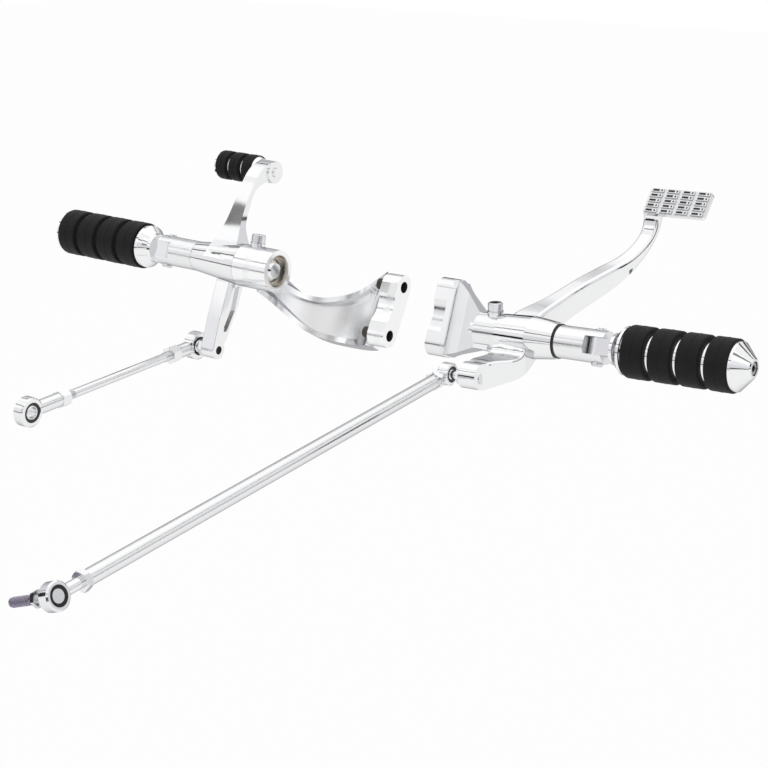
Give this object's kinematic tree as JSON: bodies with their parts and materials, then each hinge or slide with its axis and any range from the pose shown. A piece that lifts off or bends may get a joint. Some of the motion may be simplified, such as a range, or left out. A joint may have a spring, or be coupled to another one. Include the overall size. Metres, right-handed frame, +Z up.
{
  "type": "motorcycle forward controls",
  "caption": "Forward foot controls for a motorcycle: shift lever and brake pedal on chromed brackets, with folding rubber-ringed foot pegs and two linkage rods with swivel ends.",
  "frame": {"origin": "centre of the right bracket's two-bolt pattern, on the face that meets the frame", "axes": "+X towards the rider's right, +Y forward, +Z up"},
  "size_m": [0.6845, 0.6216, 0.1882],
  "materials": {
    "chrome": "polished chrome plate on cast and turned metal",
    "plated_rod": "bright plated steel",
    "plated_steel": "plated fasteners",
    "ring_rubber": "matt moulded rubber",
    "seal_rubber": "black seal",
    "liner_black": "black bearing liner",
    "bush_bronze": "plain bearing bronze",
    "stud_steel": "dark plated threaded stud"
  },
  "bodies": {
    "frame_brackets": {"left_bracket": "chrome", "left_clamp_screw": "plated_steel", "left_clamp_washer": "plated_steel", "left_fold_pin": "plated_steel", "left_peg_mount": "chrome", "left_pin_clip": "plated_steel", "left_pivot_bolt": "plated_steel", "pedal_seal": "seal_rubber", "right_bracket": "chrome", "right_clamp_screw": "plated_steel", "right_clamp_washer": "plated_steel", "right_fold_pin": "plated_steel", "right_peg_mount": "chrome", "right_pin_clip": "plated_steel"},
    "shift_lever": {"shift_ball_stud": "plated_steel", "shift_lever": "chrome", "shift_lever_bush": "bush_bronze", "toe_peg_cap": "chrome", "toe_peg_core": "chrome", "toe_peg_ring_1": "ring_rubber", "toe_peg_ring_2": "ring_rubber", "toe_peg_ring_3": "ring_rubber"},
    "shift_rod": {"shift_jam_nut_far": "plated_steel", "shift_jam_nut_near": "plated_steel", "shift_liner_far": "liner_black", "shift_liner_near": "liner_black", "shift_rod": "plated_rod", "shift_rod_end_far": "plated_rod", "shift_rod_end_near": "plated_rod"},
    "shift_far_ball": {"shift_far_ball": "plated_steel"},
    "left_peg": {"left_cap_screw": "plated_steel", "left_peg_cap": "chrome", "left_peg_core": "chrome", "left_peg_ring_1": "ring_rubber", "left_peg_ring_2": "ring_rubber", "left_peg_ring_3": "ring_rubber", "left_peg_ring_4": "ring_rubber"},
    "brake_pedal": {"brake_ball_stud": "plated_steel", "brake_pedal": "chrome", "pedal_bush": "bush_bronze"},
    "brake_rod": {"brake_jam_nut_far": "plated_steel", "brake_jam_nut_near": "plated_steel", "brake_liner_far": "liner_black", "brake_liner_near": "liner_black", "brake_rod_end_far": "plated_rod", "brake_rod_end_near": "plated_rod", "brake_rod_tube": "plated_rod"},
    "brake_far_stud": {"brake_far_stud": "stud_steel"},
    "right_peg": {"right_cap_screw": "plated_steel", "right_peg_cap": "chrome", "right_peg_core": "chrome", "right_peg_ring_1": "ring_rubber", "right_peg_ring_2": "ring_rubber", "right_peg_ring_3": "ring_rubber", "right_peg_ring_4": "ring_rubber"}
  },
  "joints": [
    {"name": "shift_lever_turn", "type": "hinge", "parent": "frame_brackets", "child": "shift_lever", "pos_m": [-0.065, -0.002, 0.01275], "axis": [0.9997, 0, -0.0262], "range_deg": [-12, 12]},
    {"name": "shift_rod_swing", "type": "hinge", "parent": "shift_lever", "child": "shift_rod", "pos_m": [-0.23584, -0.0218, -0.0555], "axis": [0.9997, 0, -0.0262], "range_deg": [-25, 25]},
    {"name": "shift_ball_turn", "type": "hinge", "parent": "shift_rod", "child": "shift_far_ball", "pos_m": [-0.23616, -0.21903, -0.06756], "axis": [0.9997, 0, -0.0262], "continuous": true},
    {"name": "left_peg_fold", "type": "hinge", "parent": "frame_brackets", "child": "left_peg", "pos_m": [-0.27973, -0.002, 0.01837], "axis": [0.0249, 0.309, 0.9507], "range_deg": [0, 90]},
    {"name": "brake_pedal_turn", "type": "hinge", "parent": "frame_brackets", "child": "brake_pedal", "pos_m": [0, -0.002, -0.006], "axis": [-0.9997, 0, -0.0262], "range_deg": [-5, 20]},
    {"name": "brake_rod_swing", "type": "hinge", "parent": "brake_pedal", "child": "brake_rod", "pos_m": [0.04708, -0.0547, -0.02757], "axis": [0.9997, 0, 0.0262], "range_deg": [-25, 25]},
    {"name": "brake_stud_turn", "type": "hinge", "parent": "brake_rod", "child": "brake_far_stud", "pos_m": [0.04823, -0.4721, -0.07143], "axis": [-0.9427, 0.0323, -0.3321], "continuous": true},
    {"name": "right_peg_fold", "type": "hinge", "parent": "frame_brackets", "child": "right_peg", "pos_m": [0.14825, -0.002, -0.00212], "axis": [0.0249, -0.309, -0.9507], "range_deg": [0, 90]}
  ]
}
